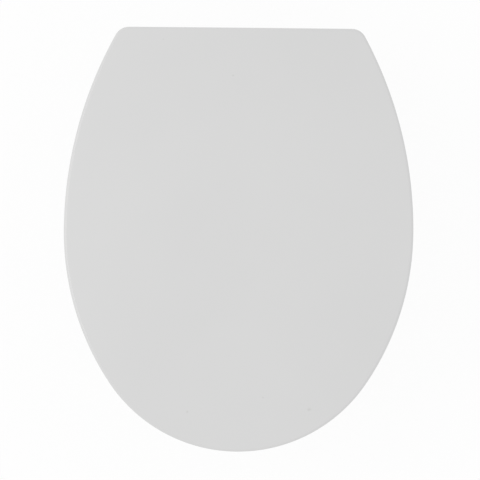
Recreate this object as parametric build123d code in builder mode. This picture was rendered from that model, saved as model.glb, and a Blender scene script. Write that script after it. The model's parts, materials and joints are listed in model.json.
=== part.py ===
from build123d import *
import os
from math import atan2, cos, degrees, hypot, radians, sin, sqrt

os.makedirs("parts", exist_ok=True)

# All sizes are in millimetres, with x across, y to the rear and z up.
# The origin lies on the pan's top face, midway between the two fixings.

# Lid outline seen from above
lid_width = 370
lid_length = 449
widest_from_rear = 215.5  # rear edge to the widest line
rear_width = 255  # across the rear edge, measured to where sharp corners would be
rear_corner_radius = 16
front_arc_angle = 56  # half the angle that the front arc spans
rear_overhang = 44  # fixings to the lid's rear edge

# Lid section
lid_gap = 2  # ring's top to the lid's rim
lid_rim_depth = 14
lid_rim_wall = 4.5
lid_plate = 5.5
lid_crown = 2.8  # rise of the top from the rear edge to the middle
lid_edge_radius = 3.5
lid_inner_radius = 3

# Ring
seat_lift = 10  # pan to the ring's underside
ring_height = 20
ring_inset = 2  # lid's edge to the ring's edge
ring_wall = 7
ring_edge_radius = 8
ring_foot_chamfer = 1.2
ring_corner_radius = 14
ring_notch_radius = 2
ring_rear_gap = 2.5  # bracket's front to the ring's rear edge
ring_front_band = 66  # ring's front edge to the opening
ring_rear_band = 47  # opening to the ring's rear edge
channel_depth = 12
channel_corner_radius = 6
opening_width = 226
opening_rear_length = 120  # widest line of the opening to its rear
opening_arc_angle = 52  # half the angle that the arc at each end spans
opening_edge_radius = 15

# Hinge line
fixing_spacing = 155
knuckle_radius = 8.5
knuckle_length = 32
knuckle_headroom = 2  # knuckle's top to the lid's plate
knuckle_rim_gap = 1  # knuckle's rear to the lid's rear rim
knuckle_end_gap = 1  # between neighbouring knuckles
knuckle_chamfer = 0.6
ear_length = 24
ear_root_radius = 6
ear_root_reach = 26  # hinge line to the ear's root
ear_root_drop = 8
tongue_reach = 18  # hinge line to the rear of the ring's tongue
lug_length = 18
rib_length = 46
rib_thickness = 6
notch_side_gap = 1.5  # knuckle's end to the side of the lid's notch

# Hinge bracket
neck_width = 30
neck_front = 9.5  # fixing to the neck's front face
neck_sweep_gap = 1.3  # lid's turning edge to the neck's rear face
neck_bend_radius = 10
neck_edge_radius = 2.5
neck_crook_radius = 2.5
arm_drop = 3.5  # hinge line to the arm's underside
foot_radius = 20
foot_thickness = 4
foot_chamfer = 0.8
neck_root_radius = 2

# Fixing
gasket_thickness = 2
gasket_hole_gap = 1.5
shank_radius = 4
thread_radius = 3.6
stud_seat = 14  # length screwed into the bracket
stud_reach = 58  # pan's top face to the stud's end
stud_chamfer = 1
pan_thickness = 20
cone_tip_radius = 6
cone_radius = 13
cone_entry = 3  # how far the cone's tip stands in the pan's hole
cone_shoulder = 2  # pan's underside to the cone's full width
cone_height = 9
cone_tip_gap = 2  # end of the plain shank to the cone's tip
thread_gap = 0.2
washer_radius = 12
washer_thickness = 1.6
nut_top_radius = 9
nut_end_radius = 7.5
nut_height = 10
wing_root_radius = 4
wing_tip_radius = 4.5
wing_reach = 15
wing_drop = 8
wing_thickness = 3

# Damper, the same in both brackets
damper_depth = 25
damper_end_gap = 0.2
housing_radius = 6.25
housing_fit = 0.05
housing_floor = 1.5
chamber_radius = 5.15
key_width = 2.4
key_height = 0.9
cap_flange = 1.2
cap_plug = 4
shaft_radius = 3
shaft_flats = 4.5
shaft_running_gap = 0.08
socket_depth = 14
socket_fit = 0.05
socket_end_gap = 0.5
drum_radius = 3.6
vane_gap = 0.15
vane_thickness = 1.8
seal_section = 1.2  # side of the seal's square section
seal_fit = 0.05

# Pivot pin and bush
pin_radius = 3
pin_seat = 6
pin_running_gap = 0.05
pin_chamfer = 0.4
bush_radius = 4.5
bush_depth = 14
bush_end_gap = 0.5
bush_flange_radius = 7
bush_flange = 0.8

# Buffers
seat_pad_length = 40
seat_pad_width = 16
seat_pad_chamfer = 2
seat_boss_margin = 3
seat_stem_radius = 2.5
seat_stem_length = 8
seat_stem_spacing = 20
front_pad_inset = 41  # lid's front arc to the middle of the pad
front_pad_angle = 44  # from the centre line, about the front arc's centre
rear_pad_inset = 51
rear_pad_angle = 12  # from the widest line, about the rear side arc's centre
lid_pad_radius = 9
lid_pad_height = 5.3
lid_pad_chamfer = 1.2
lid_pad_inset = 44
lid_pad_angle = 52
lid_boss_margin = 2
lid_stem_radius = 3
lid_stem_length = 6
lid_rest_gap = 0.2

# Heights and places that follow from the sizes
ring_top_z = seat_lift + ring_height
lid_rim_z = ring_top_z + lid_gap
lid_edge_z = lid_rim_z + lid_rim_depth
lid_rear_y = rear_overhang
lid_front_y = lid_rear_y - lid_length
widest_y = lid_rear_y - widest_from_rear
half_width = lid_width / 2
fixing_x = fixing_spacing / 2


# A round end is one arc about the centre line that runs smoothly into an arc on each side.
# From its half width, its length and half the arc's angle come the two radii.
def end_radii(half, length, arc_angle):
    arc_sin = sin(radians(arc_angle))
    arc_cos = cos(radians(arc_angle))
    radius_step = (length - half) / (arc_sin + arc_cos - 1)
    end_radius = half - radius_step * (1 - arc_sin)
    return end_radius, end_radius + radius_step


front_length = widest_y - lid_front_y
front_radius, side_front_radius = end_radii(half_width, front_length, front_arc_angle)
front_centre = (0, lid_front_y + front_radius)
side_front_centre = (half_width - side_front_radius, widest_y)

# Behind the widest line each side is one arc that ends in a rear corner
side_bow = half_width - rear_width / 2
side_rear_radius = (side_bow**2 + widest_from_rear**2) / (2 * side_bow)
side_rear_centre = (half_width - side_rear_radius, widest_y)
corner_rise = widest_from_rear - rear_corner_radius
corner_run = sqrt((side_rear_radius - rear_corner_radius) ** 2 - corner_rise**2)
corner_angle = degrees(atan2(corner_rise, corner_run))
corner_centre = (side_rear_centre[0] + corner_run, widest_y + corner_rise)

# The top of the lid is part of a large sphere
crown_radius = ((lid_length / 2) ** 2 + lid_crown**2) / (2 * lid_crown)
crown_y = (lid_rear_y + lid_front_y) / 2
crown_z = lid_edge_z + lid_crown - crown_radius

# The hinge line lies under the lid's plate and in front of its rear rim
axis_to_rear_edge = knuckle_radius + knuckle_rim_gap + lid_rim_wall
hinge_y = lid_rear_y - axis_to_rear_edge
hinge_z = lid_edge_z - lid_plate - knuckle_headroom - knuckle_radius
edge_centre_back = axis_to_rear_edge - lid_edge_radius
edge_centre_up = lid_edge_z - lid_edge_radius - hinge_z
lid_swept_radius = hypot(edge_centre_back, edge_centre_up) + lid_edge_radius
neck_rear_y = hinge_y - lid_swept_radius - neck_sweep_gap
neck_top_z = hinge_z + knuckle_radius

# Across the hinge each bracket's knuckle has the ring's ear inside it and the lid's lug outside it
ear_face_x = fixing_x - knuckle_length / 2 - knuckle_end_gap
lug_face_x = fixing_x + knuckle_length / 2 + knuckle_end_gap
ear_x = ear_face_x - ear_length / 2
lug_x = lug_face_x + lug_length / 2
ring_rear_y = -neck_front - ring_rear_gap
tongue_rear_y = hinge_y - tongue_reach

# The opening in the ring lies between the rear band and the front band
opening_y = ring_rear_y - ring_rear_band - opening_rear_length
opening_front_length = opening_y - lid_front_y - ring_inset - ring_front_band

# Below the pan
cone_tip_z = cone_entry - pan_thickness
cone_base_z = cone_tip_z - cone_height
washer_base_z = cone_base_z - washer_thickness
nut_base_z = washer_base_z - nut_height
shank_end_z = cone_tip_z + cone_tip_gap

sides = {"left": -1, "right": 1}
pieces = {}


def polar_point(centre, radius, angle):
    return (centre[0] + radius * cos(radians(angle)), centre[1] + radius * sin(radians(angle)))


# The lid's outline, moved in by an inset
def seat_outline(inset):
    rear_y = lid_rear_y - inset
    with BuildSketch() as plan:
        with BuildLine():
            CenterArc(front_centre, front_radius - inset, -90 - front_arc_angle, 2 * front_arc_angle)
            Line((-corner_centre[0], rear_y), (corner_centre[0], rear_y))
            right_side = [
                CenterArc(
                    side_front_centre,
                    side_front_radius - inset,
                    front_arc_angle - 90,
                    90 - front_arc_angle,
                ),
                CenterArc(side_rear_centre, side_rear_radius - inset, 0, corner_angle),
                CenterArc(corner_centre, rear_corner_radius - inset, corner_angle, 90 - corner_angle),
            ]
            mirror(right_side, about=Plane.YZ)
        make_face()
    return plan.sketch


# The opening for the bowl: two round ends that meet on its widest line
def bowl_opening(growth):
    half = opening_width / 2
    side_span = 90 - opening_arc_angle
    with BuildSketch() as plan:
        with BuildLine():
            for way, length in ((1, opening_rear_length), (-1, opening_front_length)):
                end_radius, side_radius = end_radii(half, length, opening_arc_angle)
                end_centre = (0, opening_y + way * (length - end_radius))
                side_centre = (half - side_radius, opening_y)
                CenterArc(end_centre, end_radius + growth, way * side_span, way * 2 * opening_arc_angle)
                side_arc = CenterArc(side_centre, side_radius + growth, 0, way * side_span)
                mirror(side_arc, about=Plane.YZ)
        make_face()
    return plan.sketch


# Height of the lid's top, or of its plate's underside, above a point
def crown_height(x, y, depth=0):
    return crown_z + sqrt((crown_radius - depth) ** 2 - x**2 - (y - crown_y) ** 2)


# A block with a flat base and a top that follows the lid's crown at a depth below it
def crowned_block(plan, base_z, depth):
    with BuildPart() as block:
        with BuildSketch(Plane.XY.offset(base_z)):
            add(plan)
        extrude(amount=lid_edge_z + 2 * lid_crown - base_z)
        with Locations((0, crown_y, crown_z)):
            Sphere(crown_radius - depth, rotation=(90, 0, 0), mode=Mode.INTERSECT)
    return block.part


# A round section on the hinge line, in the plane across it
def hinge_circle(radius):
    with BuildSketch() as section:
        with Locations((hinge_y, hinge_z)):
            Circle(radius)
    return section.sketch


# The damper shaft's section with its two flats
def shaft_section(fit):
    with BuildSketch() as section:
        with Locations((hinge_y, hinge_z)):
            Circle(shaft_radius + fit)
            Rectangle(shaft_flats + 2 * fit, 2 * (shaft_radius + fit), mode=Mode.INTERSECT)
    return section.sketch


# The space inside the lid, which breaks through its rear rim over each bracket's knuckle
notch_width = knuckle_length + 2 * notch_side_gap
with BuildSketch() as recess_plan:
    add(seat_outline(lid_rim_wall))
    with Locations((-fixing_x, hinge_y), (fixing_x, hinge_y)):
        Rectangle(notch_width, 2 * axis_to_rear_edge, align=(Align.CENTER, Align.MIN))
with BuildPart() as lid_recess:
    add(crowned_block(recess_plan.sketch, ring_top_z, lid_plate))
    fillet(lid_recess.faces().sort_by(Axis.Z)[-1].edges(), lid_inner_radius)

# Under the front of the lid two bosses hold the round buffers
lid_pad_top_z = ring_top_z + lid_rest_gap + lid_pad_height
lid_pad_x, lid_pad_y = polar_point(front_centre, front_radius - lid_pad_inset, lid_pad_angle - 90)
lid_pad_places = [(side * lid_pad_x, lid_pad_y) for side in sides.values()]
lid_boss_height = crown_height(lid_pad_x, lid_pad_y, lid_plate / 2) - lid_pad_top_z

lug_top_z = crown_height(lug_x + lug_length / 2, lid_rear_y, lid_plate / 2)
lug_front_y = hinge_y - knuckle_radius
with BuildPart() as lid:
    add(crowned_block(seat_outline(0), lid_rim_z, 0))
    fillet(lid.faces().sort_by(Axis.Z)[-1].edges(), lid_edge_radius)
    add(lid_recess.part, mode=Mode.SUBTRACT)
    for side in sides.values():
        # Lug, closed on to the rear rim
        with BuildSketch(Plane.YZ.offset(side * lug_x - lug_length / 2)):
            add(hinge_circle(knuckle_radius))
            with Locations((hinge_y, hinge_z)):
                Rectangle(2 * knuckle_radius, lug_top_z - hinge_z, align=(Align.CENTER, Align.MIN))
            with Locations((hinge_y, lid_rim_z)):
                Rectangle(
                    axis_to_rear_edge - lid_rim_wall / 2,
                    lug_top_z - lid_rim_z,
                    align=(Align.MIN, Align.MIN),
                )
        extrude(amount=lug_length)
        # Tapered rib from the lug to the plate
        with BuildSketch(Plane.YZ.offset(side * lug_x - rib_thickness / 2)):
            with BuildLine():
                Polyline(
                    (lug_front_y, hinge_z),
                    (lug_front_y, lug_top_z),
                    (lug_front_y - rib_length, lug_top_z),
                    close=True,
                )
            make_face()
        extrude(amount=rib_thickness)
    with BuildSketch(Plane.XY.offset(lid_pad_top_z)):
        with Locations(lid_pad_places):
            Circle(lid_pad_radius + lid_boss_margin)
    extrude(amount=lid_boss_height)
    with BuildSketch(Plane.XY.offset(lid_pad_top_z)):
        with Locations(lid_pad_places):
            Circle(lid_stem_radius)
    extrude(amount=lid_stem_length, mode=Mode.SUBTRACT)
    # The left lug takes the damper's shaft and the right lug takes a bush
    with BuildSketch(Plane.YZ.offset(-lug_face_x)):
        add(shaft_section(socket_fit))
    extrude(amount=-socket_depth, mode=Mode.SUBTRACT)
    with BuildSketch(Plane.YZ.offset(lug_face_x)):
        add(hinge_circle(bush_radius))
    extrude(amount=bush_depth, mode=Mode.SUBTRACT)
pieces["lid"] = lid

# Places of the seat buffers, with the angle of each pad along the ring
front_pad = polar_point(front_centre, front_radius - front_pad_inset, front_pad_angle - 90)
rear_pad = polar_point(side_rear_centre, side_rear_radius - rear_pad_inset, rear_pad_angle)
pad_places = {}
for name, side in sides.items():
    pad_places[f"front_{name}"] = Location((side * front_pad[0], front_pad[1]), side * front_pad_angle)
    pad_places[f"rear_{name}"] = Location((side * rear_pad[0], rear_pad[1]), 90 + side * rear_pad_angle)

with BuildPart() as seat_ring:
    with BuildSketch(Plane.XY.offset(seat_lift)) as ring_plan:
        add(seat_outline(ring_inset))
        with Locations((ear_face_x, ring_rear_y)):
            Rectangle(lid_width, lid_length, align=(Align.MIN, Align.MIN), mode=Mode.SUBTRACT)
        with Locations((-ear_face_x, ring_rear_y)):
            Rectangle(lid_width, lid_length, align=(Align.MAX, Align.MIN), mode=Mode.SUBTRACT)
        with Locations((0, tongue_rear_y)):
            Rectangle(lid_width, lid_length, align=(Align.CENTER, Align.MIN), mode=Mode.SUBTRACT)
        fillet(ring_plan.vertices().group_by(Axis.Y)[-1], ring_corner_radius)
        wing_corners = ring_plan.vertices().filter_by(lambda v: abs(v.Y - ring_rear_y) < ring_notch_radius)
        wing_corners = wing_corners.sort_by(lambda v: abs(v.X))
        fillet(wing_corners[2:], ring_corner_radius)
        fillet(wing_corners[:2], ring_notch_radius)
    extrude(amount=ring_height)
    with BuildSketch(Plane.XY.offset(seat_lift)):
        add(bowl_opening(0))
    extrude(amount=ring_height, mode=Mode.SUBTRACT)
    fillet(seat_ring.faces().sort_by(Axis.Z)[-1].outer_wire().edges(), ring_edge_radius)
    fillet(seat_ring.faces().sort_by(Axis.Z)[-1].inner_wires()[0].edges(), opening_edge_radius)
    chamfer(seat_ring.faces().sort_by(Axis.Z)[0].edges(), ring_foot_chamfer)
    # Hollow underside
    with BuildSketch(Plane.XY.offset(seat_lift)) as channel_plan:
        add(seat_outline(ring_inset + ring_wall))
        with Locations((0, ring_rear_y - ring_wall)):
            Rectangle(lid_width, lid_length, align=(Align.CENTER, Align.MIN), mode=Mode.SUBTRACT)
        fillet(channel_plan.vertices().group_by(Axis.Y)[-1], channel_corner_radius)
        add(bowl_opening(ring_wall), mode=Mode.SUBTRACT)
    extrude(amount=channel_depth, mode=Mode.SUBTRACT)
    # Bosses in the channel, with holes for the stems of the buffers
    with BuildSketch(Plane.XY.offset(seat_lift)):
        with Locations(*pad_places.values()):
            SlotOverall(seat_pad_length + 2 * seat_boss_margin, seat_pad_width + 2 * seat_boss_margin)
    extrude(amount=channel_depth)
    with BuildSketch(Plane.XY.offset(seat_lift)):
        with Locations(*pad_places.values()):
            with GridLocations(seat_stem_spacing, 0, 2, 1):
                Circle(seat_stem_radius)
    extrude(amount=seat_stem_length, mode=Mode.SUBTRACT)
    # Ears that rise from the tongue to the hinge line
    for side in sides.values():
        with BuildSketch(Plane.YZ.offset(side * ear_x - ear_length / 2)):
            add(hinge_circle(knuckle_radius))
            with Locations((hinge_y - ear_root_reach, hinge_z - ear_root_drop)):
                Circle(ear_root_radius)
            make_hull()
        extrude(amount=ear_length)
    # The right ear takes the damper's shaft and the left ear takes a bush
    with BuildSketch(Plane.YZ.offset(ear_face_x)):
        add(shaft_section(socket_fit))
    extrude(amount=-socket_depth, mode=Mode.SUBTRACT)
    with BuildSketch(Plane.YZ.offset(-ear_face_x)):
        add(hinge_circle(bush_radius))
    extrude(amount=bush_depth, mode=Mode.SUBTRACT)
pieces["seat_ring"] = seat_ring


# Round rubber plug under the lid
def lid_buffer(x, y):
    with BuildPart() as buffer:
        with BuildSketch(Plane.XY.offset(lid_pad_top_z)):
            with Locations((x, y)):
                Circle(lid_pad_radius)
        extrude(amount=-lid_pad_height)
        chamfer(buffer.faces().sort_by(Axis.Z)[0].edges(), lid_pad_chamfer)
        with BuildSketch(Plane.XY.offset(lid_pad_top_z)):
            with Locations((x, y)):
                Circle(lid_stem_radius)
        extrude(amount=lid_stem_length)
    return buffer


# Long rubber pad under the ring, with two stems
def seat_buffer(place):
    with BuildPart() as buffer:
        with BuildSketch():
            with Locations(place):
                SlotOverall(seat_pad_length, seat_pad_width)
        extrude(amount=seat_lift)
        chamfer(buffer.faces().sort_by(Axis.Z)[0].edges(), seat_pad_chamfer)
        with BuildSketch(Plane.XY.offset(seat_lift)):
            with Locations(place):
                with GridLocations(seat_stem_spacing, 0, 2, 1):
                    Circle(seat_stem_radius)
        extrude(amount=seat_stem_length)
    return buffer


# Cast bracket: a foot on the pan, a swan neck and a knuckle that holds the damper
def hinge_bracket(x):
    knuckle_start = x - knuckle_length / 2
    knuckle_end = x + knuckle_length / 2
    with BuildPart() as bracket:
        with BuildSketch(Plane.YZ.offset(x - neck_width / 2)) as neck:
            with BuildLine():
                Polyline(
                    (-neck_front, gasket_thickness),
                    (-neck_front, neck_top_z),
                    (hinge_y, neck_top_z),
                    (hinge_y, hinge_z - arm_drop),
                    (neck_rear_y, hinge_z - arm_drop),
                    (neck_rear_y, gasket_thickness),
                    close=True,
                )
            make_face()
            fillet(neck.vertices().group_by(Axis.Y)[1].sort_by(Axis.X)[0], neck_crook_radius)
            fillet(neck.vertices().group_by(Axis.Y)[-1].sort_by(Axis.X)[0], neck_bend_radius)
        extrude(amount=neck_width)
        fillet(bracket.faces().filter_by(Axis.X).edges(), neck_edge_radius)
        with BuildSketch(Plane.XY.offset(gasket_thickness)):
            with Locations((x, 0)):
                Circle(foot_radius)
        extrude(amount=foot_thickness)
        foot_rim = bracket.edges().filter_by(GeomType.CIRCLE).group_by(SortBy.RADIUS)[-1]
        chamfer(foot_rim.sort_by(Axis.Z)[-1], foot_chamfer)
        foot_top = bracket.faces().filter_by(Axis.Z).group_by(Axis.Z)[1][0]
        fillet(foot_top.inner_wires()[0].edges(), neck_root_radius)
        with BuildSketch(Plane.YZ.offset(knuckle_start)):
            add(hinge_circle(knuckle_radius))
        extrude(amount=knuckle_length)
        knuckle_ends = bracket.edges().filter_by(GeomType.CIRCLE).group_by(Axis.X)
        chamfer(knuckle_ends[0] + knuckle_ends[-1], knuckle_chamfer)
        # Bore and keyway for the damper
        with BuildSketch(Plane.YZ.offset(knuckle_start)):
            add(hinge_circle(housing_radius + housing_fit))
            with Locations((hinge_y - housing_radius, hinge_z)):
                Rectangle(2 * (key_height + housing_fit), key_width + 2 * housing_fit)
        extrude(amount=damper_depth, mode=Mode.SUBTRACT)
        # Hole for the pivot pin
        with BuildSketch(Plane.YZ.offset(knuckle_end)):
            add(hinge_circle(pin_radius))
        extrude(amount=-pin_seat, mode=Mode.SUBTRACT)
        # Hole for the stud
        with BuildSketch(Plane.XY.offset(gasket_thickness)):
            with Locations((x, 0)):
                Circle(thread_radius)
        extrude(amount=stud_seat, mode=Mode.SUBTRACT)
    return bracket


def base_gasket(x):
    with BuildPart() as gasket:
        with BuildSketch():
            with Locations((x, 0)):
                Circle(foot_radius)
                Circle(shank_radius + gasket_hole_gap, mode=Mode.SUBTRACT)
        extrude(amount=gasket_thickness)
    return gasket


# Turned piece about a fixing: a closed half section of (radius, height) points
def turned(x, section):
    with BuildPart() as piece:
        with BuildSketch(Plane.XZ):
            with BuildLine():
                Polyline([(x + radius, height) for radius, height in section], close=True)
            make_face()
        revolve(axis=Axis((x, 0, 0), (0, 0, 1)))
    return piece


# Stud with a plain shank where it passes the pan and a thread at each end
def fixing_stud(x):
    stud_top_z = gasket_thickness + stud_seat
    return turned(
        x,
        [
            (0, stud_top_z),
            (thread_radius, stud_top_z),
            (thread_radius, gasket_thickness),
            (shank_radius, gasket_thickness),
            (shank_radius, shank_end_z),
            (thread_radius, shank_end_z),
            (thread_radius, stud_chamfer - stud_reach),
            (thread_radius - stud_chamfer, -stud_reach),
            (0, -stud_reach),
        ],
    )


def sealing_cone(x):
    return turned(
        x,
        [
            (thread_radius + thread_gap, cone_tip_z),
            (cone_tip_radius, cone_tip_z),
            (cone_radius, -pan_thickness - cone_shoulder),
            (cone_radius, cone_base_z),
            (thread_radius + thread_gap, cone_base_z),
        ],
    )


def stud_washer(x):
    return turned(
        x,
        [
            (thread_radius + thread_gap, cone_base_z),
            (washer_radius, cone_base_z),
            (washer_radius, washer_base_z),
            (thread_radius + thread_gap, washer_base_z),
        ],
    )


def wing_nut(x):
    hub = turned(
        x,
        [
            (0, washer_base_z),
            (nut_top_radius, washer_base_z),
            (nut_end_radius, nut_base_z),
            (0, nut_base_z),
        ],
    )
    wing_root_z = washer_base_z - nut_height / 2
    with BuildPart() as nut:
        add(hub.part)
        for side in sides.values():
            with BuildSketch(Plane.XZ):
                with Locations((x + side * wing_root_radius, wing_root_z)):
                    Circle(wing_root_radius)
                with Locations((x + side * wing_reach, wing_root_z - wing_drop)):
                    Circle(wing_tip_radius)
                make_hull()
            extrude(amount=wing_thickness / 2, both=True)
        with BuildSketch(Plane.XY.offset(washer_base_z)):
            with Locations((x, 0)):
                Circle(thread_radius)
        extrude(amount=-nut_height, mode=Mode.SUBTRACT)
    return nut


# Damper parts lie along the hinge line from the knuckle's open end at start
def damper_housing(start):
    length = damper_depth - cap_flange - damper_end_gap
    with BuildPart() as housing:
        with BuildSketch(Plane.YZ.offset(start + cap_flange)):
            add(hinge_circle(housing_radius))
            with Locations((hinge_y - housing_radius, hinge_z)):
                Rectangle(2 * key_height, key_width)
        extrude(amount=length)
        with BuildSketch(Plane.YZ.offset(start + cap_flange)):
            add(hinge_circle(chamber_radius))
        extrude(amount=length - housing_floor, mode=Mode.SUBTRACT)
    return housing


def damper_cap(start):
    plug_end = start + cap_flange + cap_plug
    with BuildPart() as cap:
        with BuildSketch(Plane.YZ.offset(start)):
            add(hinge_circle(housing_radius))
        extrude(amount=cap_flange)
        with BuildSketch(Plane.YZ.offset(start)):
            add(hinge_circle(chamber_radius))
        extrude(amount=cap_flange + cap_plug)
        with BuildSketch(Plane.YZ.offset(start)):
            add(hinge_circle(shaft_radius + shaft_running_gap))
        extrude(amount=cap_flange + cap_plug, mode=Mode.SUBTRACT)
        # Groove for the seal, open to the chamber
        with BuildSketch(Plane.YZ.offset(plug_end)):
            add(hinge_circle(shaft_radius + 2 * seal_fit + seal_section))
        extrude(amount=-seal_section, mode=Mode.SUBTRACT)
    return cap


def damper_seal(start):
    with BuildPart() as seal:
        with BuildSketch(Plane.YZ.offset(start + cap_flange + cap_plug)):
            add(hinge_circle(shaft_radius + seal_fit + seal_section))
            add(hinge_circle(shaft_radius + seal_fit), mode=Mode.SUBTRACT)
        extrude(amount=-seal_section)
    return seal


# Drum with two vanes in grease, and a shaft whose flats turn the lid or the ring
def damper_rotor(start):
    drum_start = start + cap_flange + cap_plug + damper_end_gap
    drum_end = start + damper_depth - housing_floor - 2 * damper_end_gap
    vane_radius = chamber_radius - vane_gap
    with BuildPart() as rotor:
        with BuildSketch(Plane.YZ.offset(drum_start)):
            add(hinge_circle(vane_radius))
            with Locations((hinge_y, hinge_z)):
                Rectangle(vane_thickness, 2 * vane_radius, mode=Mode.INTERSECT)
            add(hinge_circle(drum_radius))
        extrude(amount=drum_end - drum_start)
        with BuildSketch(Plane.YZ.offset(drum_start)):
            add(hinge_circle(shaft_radius))
        extrude(amount=start - knuckle_end_gap - drum_start)
        with BuildSketch(Plane.YZ.offset(start - knuckle_end_gap)):
            add(shaft_section(0))
        extrude(amount=socket_end_gap - socket_depth)
    return rotor


# Pin and bush lie along the hinge line from the knuckle's closed end at start
def pivot_pin(start):
    with BuildPart() as pin:
        with BuildSketch(Plane.YZ.offset(start - pin_seat)):
            add(hinge_circle(pin_radius))
        extrude(amount=pin_seat + knuckle_end_gap + bush_depth - bush_end_gap)
        chamfer(pin.edges().filter_by(GeomType.CIRCLE), pin_chamfer)
    return pin


def pivot_bush(start):
    face = start + knuckle_end_gap
    with BuildPart() as bush:
        with BuildSketch(Plane.YZ.offset(face)):
            add(hinge_circle(bush_radius))
        extrude(amount=bush_depth)
        with BuildSketch(Plane.YZ.offset(face)):
            add(hinge_circle(bush_flange_radius))
        extrude(amount=-bush_flange)
        with BuildSketch(Plane.YZ.offset(face - bush_flange)):
            add(hinge_circle(pin_radius + pin_running_gap))
        extrude(amount=bush_flange + bush_depth, mode=Mode.SUBTRACT)
    return bush


for place_name, place in pad_places.items():
    pieces[f"seat_buffer_{place_name}"] = seat_buffer(place)

for name, side in sides.items():
    x = side * fixing_x
    pieces[f"lid_buffer_{name}"] = lid_buffer(side * lid_pad_x, lid_pad_y)
    pieces[f"hinge_bracket_{name}"] = hinge_bracket(x)
    pieces[f"base_gasket_{name}"] = base_gasket(x)
    pieces[f"fixing_stud_{name}"] = fixing_stud(x)
    pieces[f"sealing_cone_{name}"] = sealing_cone(x)
    pieces[f"stud_washer_{name}"] = stud_washer(x)
    pieces[f"wing_nut_{name}"] = wing_nut(x)
    pieces[f"pivot_pin_{name}"] = pivot_pin(x + knuckle_length / 2)
    pieces[f"pivot_bush_{name}"] = pivot_bush(x + knuckle_length / 2)

# The left bracket damps the lid and the right bracket damps the ring
for owner, side in {"lid": -1, "seat": 1}.items():
    start = side * fixing_x - knuckle_length / 2
    pieces[f"{owner}_damper_housing"] = damper_housing(start)
    pieces[f"{owner}_damper_cap"] = damper_cap(start)
    pieces[f"{owner}_damper_seal"] = damper_seal(start)
    pieces[f"{owner}_damper_rotor"] = damper_rotor(start)

for name, piece in pieces.items():
    piece.part.label = name
    export_step(piece.part, f"parts/{name}.step")
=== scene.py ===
import json
from collections import namedtuple
from math import atan2, ceil, cos, degrees, hypot, pi, radians, sin, sqrt

import bmesh
import bpy
from mathutils import Matrix, Vector


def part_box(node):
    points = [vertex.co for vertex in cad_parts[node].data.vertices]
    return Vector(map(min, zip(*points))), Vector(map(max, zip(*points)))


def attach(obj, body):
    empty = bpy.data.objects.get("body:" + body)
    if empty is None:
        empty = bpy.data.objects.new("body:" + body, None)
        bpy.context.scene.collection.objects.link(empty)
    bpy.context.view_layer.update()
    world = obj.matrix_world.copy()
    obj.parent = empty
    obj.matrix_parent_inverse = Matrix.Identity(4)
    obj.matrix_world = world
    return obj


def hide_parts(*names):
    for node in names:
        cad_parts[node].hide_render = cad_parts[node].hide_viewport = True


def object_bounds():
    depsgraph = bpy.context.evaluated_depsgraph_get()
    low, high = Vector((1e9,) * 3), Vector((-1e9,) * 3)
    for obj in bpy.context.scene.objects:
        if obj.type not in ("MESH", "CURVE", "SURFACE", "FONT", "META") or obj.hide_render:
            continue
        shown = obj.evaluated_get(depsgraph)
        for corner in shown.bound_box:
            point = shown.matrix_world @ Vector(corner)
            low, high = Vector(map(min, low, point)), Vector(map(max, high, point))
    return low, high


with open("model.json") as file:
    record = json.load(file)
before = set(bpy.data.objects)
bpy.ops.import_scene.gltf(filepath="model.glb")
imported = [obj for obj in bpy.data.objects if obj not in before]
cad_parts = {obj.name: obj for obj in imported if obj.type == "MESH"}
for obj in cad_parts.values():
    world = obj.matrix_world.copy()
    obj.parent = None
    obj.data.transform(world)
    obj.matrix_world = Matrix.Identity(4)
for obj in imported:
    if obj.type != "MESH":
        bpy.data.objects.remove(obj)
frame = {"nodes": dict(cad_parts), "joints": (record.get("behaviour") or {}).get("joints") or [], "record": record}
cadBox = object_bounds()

print("frame loaded with", len(frame["nodes"]), "nodes")
mm = 0.001
sideSigns = {"left": -1, "right": 1}
spare = 1 * mm  # how far a cut, or a piece that is joined on, starts beyond the face it goes into


# What the frame says: the hinge line, the fixings and the boxes of the main pieces

def middleOf(node):
    low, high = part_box(node)
    return (low + high) / 2


hingeY, hingeZ = frame["joints"][0]["pos_m"][1:3]
fixingX = middleOf("fixing_stud_right").x
lidLow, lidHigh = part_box("lid")
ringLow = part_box("seat_ring")[0]

# The lid's top is part of a large sphere, which rises from its rear and front edges to its middle
crownRise = 2.8 * mm
crownRadius = ((lidHigh.y - lidLow.y) ** 2 / 4 + crownRise**2) / (2 * crownRise)
crownCentre = Vector((0, (lidLow.y + lidHigh.y) / 2, lidHigh.z - crownRadius))


def crownHeight(x, y, depth=0.0):  # the lid's top, or a face at a depth below it
    return crownCentre.z + sqrt((crownRadius - depth) ** 2 - x**2 - (y - crownCentre.y) ** 2)


# Shader sockets as values

class Wire:  # a socket that can be used in sums; node() adds any other node
    def __init__(self, tree, socket=None):
        self.tree = tree
        self.socket = socket

    def node(self, kind, settings=None, inputs=None, output=0):
        made = self.tree.nodes.new("ShaderNode" + kind)
        for name, value in (settings or {}).items():
            setattr(made, name, value)
        for name, value in (inputs or {}).items():
            if isinstance(value, Wire):
                self.tree.links.new(value.socket, made.inputs[name])
            else:
                made.inputs[name].default_value = value
        return Wire(self.tree, made.outputs[output] if made.outputs else None)

    def maths(self, operation, first, second):
        return self.node("Math", {"operation": operation}, {0: first, 1: second})

    def __add__(self, other):
        return self.maths("ADD", self, other)

    def __radd__(self, other):
        return self.maths("ADD", other, self)

    def __sub__(self, other):
        return self.maths("SUBTRACT", self, other)

    def __rsub__(self, other):
        return self.maths("SUBTRACT", other, self)

    def __mul__(self, other):
        return self.maths("MULTIPLY", self, other)

    def __rmul__(self, other):
        return self.maths("MULTIPLY", other, self)


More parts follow.
